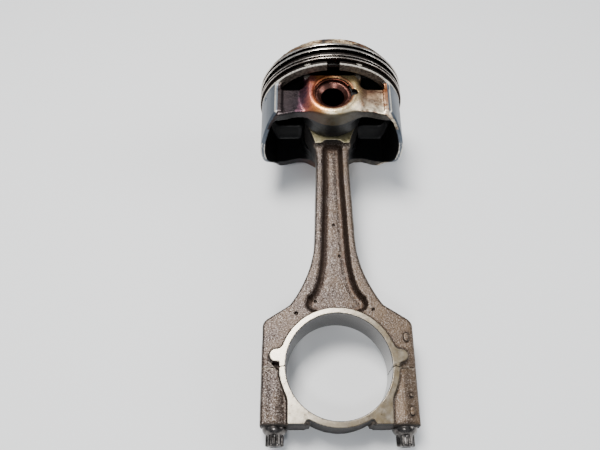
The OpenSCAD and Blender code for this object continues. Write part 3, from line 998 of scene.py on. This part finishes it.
def make_pin():
    bevel = 2.2
    end = [
        (PIN_HOLE_R, PIN_Z - bevel), (PIN_HOLE_R + 0.15, PIN_Z - bevel + 0.1),
        (PIN_HOLE_R + bevel - 0.1, PIN_Z - 0.12), (PIN_HOLE_R + bevel + 0.15, PIN_Z),
        (PIN_R - 0.7, PIN_Z), (PIN_R - 0.2, PIN_Z - 0.15), (PIN_R, PIN_Z - 0.6),
    ]
    profile = [(r, -h) for r, h in end] + [(r, h) for r, h in reversed(end)]
    pin = lathe("pin_tube", profile, False, (0, L, 0))
    dress(pin, PIN, "wrist_pin", "pin_steel", "wrist_pin")


def make_clip(side, node):
    wire = [
        (PIN_R + CLIP_WIRE_R * math.cos(t), side * CLIP_Z + CLIP_WIRE_R * math.sin(t))
        for t in np.linspace(0, 2 * math.pi, 12, endpoint=False)
    ]
    clip = lathe(node + "_wire", wire, False, (0, L, 0), 120, 30, 330)
    dress(clip, CLIP, "piston", "clip_steel", node)


def make_small_parts():
    make_bolt(-1, "bolt_left")
    make_bolt(1, "bolt_right")
    make_bush()
    make_pin()
    make_clip(1, "circlip_front")
    make_clip(-1, "circlip_rear")


# ---------------------------------------------------------------- rings
def make_rings():
    half_gap = math.degrees(RING_GAP / 2 / RING_R)
    for name, (base, thick, gap_at) in RINGS.items():
        thin = thick < 1
        section = rounded_section(RING_R - RING_W, RING_R, base, base + thick, 0.12 if thin else 0.2)
        start, end = gap_at + half_gap, gap_at + 360 - half_gap
        piece = lathe(name + "_split", section, True, (0, L, RING_LIFT), 240, start, end)
        dress(piece, RAIL if thin else RING, name, "ring_steel", name)
    make_expander()


def make_expander():
    """A crimped strip: its folds run up and down between the two rails."""
    base, thick, gap_at = EXPANDER
    folds = 96
    per_fold = 10
    half_gap = math.degrees(RING_GAP / 2 / RING_R)
    count = folds * per_fold
    angles = np.radians(np.linspace(gap_at + half_gap, gap_at + 360 - half_gap, count))
    wave = np.clip(1.8 * np.sin(np.arange(count) * 2 * math.pi / per_fold), -1, 1)
    strip = 0.3
    middle = base + thick / 2 + wave * (thick - strip) / 2
    outer, inner = RING_R - 0.55, RING_R - RING_W + 0.2
    rows = [(outer, -1), (outer, 1), (inner, 1), (inner, -1)]
    p = np.array(
        [
            (r * math.cos(t), L + m + side * strip / 2, r * math.sin(t) + RING_LIFT)
            for t, m in zip(angles, middle)
            for r, side in rows
        ]
    )
    faces = [
        [4 * c + k, 4 * c + (k + 1) % 4, 4 * c + 4 + (k + 1) % 4, 4 * c + 4 + k]
        for c in range(count - 1)
        for k in range(4)
    ]
    faces += [[3, 2, 1, 0], [4 * count - 4 + k for k in range(4)]]
    piece = new_mesh("oil_expander_strip", p, faces)
    dress(piece, STRIP, "oil_expander", "expander_steel", "oil_expander")


# ---------------------------------------------------------------- piston
def crust(p, normal):
    """Carbon crust on the crown and the top land, and cast roughness inside."""
    a = p[:, 1] - L
    r = np.hypot(p[:, 0], p[:, 2])
    crown = ramp(a, CROWN_A - 3.2, CROWN_A - 1.5) * (r < LAND_R + 0.2)
    flakes = 0.5 + 0.5 * noise(p / 1.5) * 0.6 + 0.4 * noise(p / 0.8 + 5.0)
    thick = crown * (np.clip(flakes, 0, 1) - 1.0) * 0.28 * np.where(r > LAND_R - 0.6, 0.5, 1.0)
    cast = (r < SKIRT_R - SKIRT_T + 0.4) & (a < CROWN_A - 3) & (np.hypot(p[:, 0], a) > PIN_R + 1.6)
    rough = 0.06 * noise(p / 1.1 + 3.0) + 0.1 * noise(p / 3.0)
    return thick + np.where(cast & (np.abs(p[:, 2]) < BOSS_Z - 0.3), rough, 0.0)


def oily_stretches(p, normal):
    """Where the piston is painted dark, from 0 to 1: the oily hollow, and painted shade in the pockets,
    on downward faces and in the pin bore.
    """
    x, a, z = p[:, 0], p[:, 1] - L, p[:, 2]
    ax, az = np.abs(x), np.abs(z)
    r, pin = np.hypot(x, z), np.hypot(x, a)
    outward = normal[:, 2] * np.sign(z)
    pocket = ramp(a, 4.5, 8.0) * (ax > PILLAR_X + 0.5) + ramp(a, 13.5, 16.0)
    pocket = np.clip(pocket, 0, 1) * (r < BELT_INNER_R + 0.3) * (a < UNDER_A + 1)
    inside = (az < PANEL_Z - PANEL_T - 0.1) & (r < SKIRT_R - SKIRT_T + 0.3) & (a < CROWN_A - 2)
    inside &= ~((np.abs(normal[:, 1]) > 0.7) & (a < SKIRT_A + 2))
    inside |= (outward < -0.3) & (a < UNDER_A) & (r < 40)
    underside = ramp(-normal[:, 1], 0.35, 0.7) * (a < -5) * (az < BOSS_Z - 0.8) * (r < SKIRT_R - SKIRT_T)
    bore = (pin < PIN_R + 1.0) & (az < BOSS_Z - 0.9)
    bore |= (pin < PIN_R + 3.6) & (x > PIN_R - 1) & (az < BOSS_Z - 0.7) & (az > CLIP_Z - 1.6)
    return np.maximum(np.maximum(inside, 0.93 * underside), np.maximum(bore, pocket * (az < 36)))


def paint_piston(piece, p, normal):
    """Marks the stained, burnt and oily stretches of the piston, its exposed machined edges, and its
    painted highlights and painted shade.
    """
    x, a, z = p[:, 0], p[:, 1] - L, p[:, 2]
    ax, az = np.abs(x), np.abs(z)
    r, pin = np.hypot(x, z), np.hypot(x, a)
    outward = normal[:, 2] * np.sign(z)
    on_skirt = r > SKIRT_R - 0.5
    panel = (~on_skirt) & (az > 17) & (outward > -0.2) & (a < 15.5) & (r < 41)
    rim = np.clip(1 - np.abs(pin - PIN_R - 1.0) / 1.4, 0, 1) * (az > BOSS_Z - 2)
    belt = (a > BELT_A - 0.2) & (r > BELT_INNER_R - 0.5)
    belt_end = (r <= LAND_R - 0.9) * (r > BELT_INNER_R - 0.6) * (az > 12)
    lip = (np.abs(a - BELT_A) < 0.45) & (r > LAND_R - 0.9) & (ax > SLOT_X - 0.2)
    knob = (np.hypot(ax - KNOB[0], a - KNOB[1]) < 2.0) * (az > 24)
    side_edge = (az > PANEL_Z - 0.1) & (r > 41.1) & (a < BELT_A) & (outward > 0.35) & (outward < 0.9)
    tip = (np.abs(a - SKIRT_A) < 0.45) & ((r > 41.3) | (r < 40.0)) & (r > 39.3)
    paint(
        piece,
        panel=panel,
        below=ramp(-a, -2.0, 14.0),
        rim=rim,
        carbon=belt,
        crown=ramp(a, CROWN_A - 2.4, CROWN_A - 1.0),
        plateau=(normal[:, 1] > 0.7) * (r < PLATEAU_R - 3.0),
        grey=(np.abs(a - BELT_A) < 1.2) * belt_end,
        # Exposed machined metal on the belt's lip and skirt tips; painted highlights on the knobs and the
        # skirts' side edges
        bare=np.clip(1.0 * lip + side_edge + 0.7 * knob + 0.8 * tip, 0, 1),
        inside=oily_stretches(p, normal) * (1 - side_edge) * (1 - tip),
    )


def make_piston():
    low = (-SKIRT_R - 1.5, L + SKIRT_A - 1.5, -SKIRT_R - 1.5)
    high = (SKIRT_R + 1.5, L + PLATEAU_A + 1.5, SKIRT_R + 1.5)
    shell, p, normal = solid("piston_casting", piston_field, low, high, crust)
    paint_piston(shell, p, normal)
    dress(shell, ALLOY, "piston", "piston_alloy", "piston")


# ---------------------------------------------------------------- floor, lights and camera
CAMERA_AT = Vector((-17.90, -63.53, 281.05)) * MM
CAMERA_PITCH = math.radians(27.0)
CAMERA_YAW = 0.005
CAMERA_ROLL = -0.005
CAMERA_LENS = 34.18


def make_floor():
    low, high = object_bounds()
    bpy.ops.mesh.primitive_plane_add(size=12, location=(0, 0.06, low[2]))
    floor = bpy.context.object
    floor.name = "floor"
    floor.data.materials.append(floor_paint())


def area_light(name, at, aim, size, power, colour=(1, 1, 1)):
    light = bpy.data.lights.new(name, "AREA")
    light.shape = "RECTANGLE"
    light.size, light.size_y = size
    light.energy = power
    light.color = colour
    lamp = bpy.data.objects.new(name, light)
    lamp.location = at
    lamp.rotation_euler = (Vector(aim) - Vector(at)).to_track_quat("-Z", "Y").to_euler()
    bpy.context.scene.collection.objects.link(lamp)


def make_light():
    world = bpy.data.worlds.new("studio")
    world.use_nodes = True
    world.node_tree.nodes["Background"].inputs[0].default_value = (0.80, 0.86, 0.94, 1)
    world.node_tree.nodes["Background"].inputs[1].default_value = 0.42
    bpy.context.scene.world = world
    target = (0, 0.07, 0)
    area_light("key", (-0.20, 0.22, 0.90), target, (0.34, 0.34), 15.0, (1.0, 0.97, 0.93))
    area_light("fill", (0.75, 0.10, 0.45), target, (0.4, 0.4), 3.0)
    area_light("front", (-0.15, -0.55, 0.75), target, (0.16, 0.16), 3.0)


def make_camera():
    data = bpy.data.cameras.new("camera")
    data.lens = CAMERA_LENS
    data.clip_start = 0.01
    camera = bpy.data.objects.new("camera", data)
    turn = Matrix.Rotation(CAMERA_YAW, 4, "Z") @ Matrix.Rotation(CAMERA_PITCH, 4, "X")
    turn = turn @ Matrix.Rotation(CAMERA_ROLL, 4, "Z")
    camera.matrix_world = ROD_FRAME @ Matrix.Translation(CAMERA_AT) @ turn
    bpy.context.scene.collection.objects.link(camera)
    bpy.context.scene.camera = camera


make_floor()
make_light()
make_camera()
make_rod()
make_small_parts()
make_rings()
make_piston()
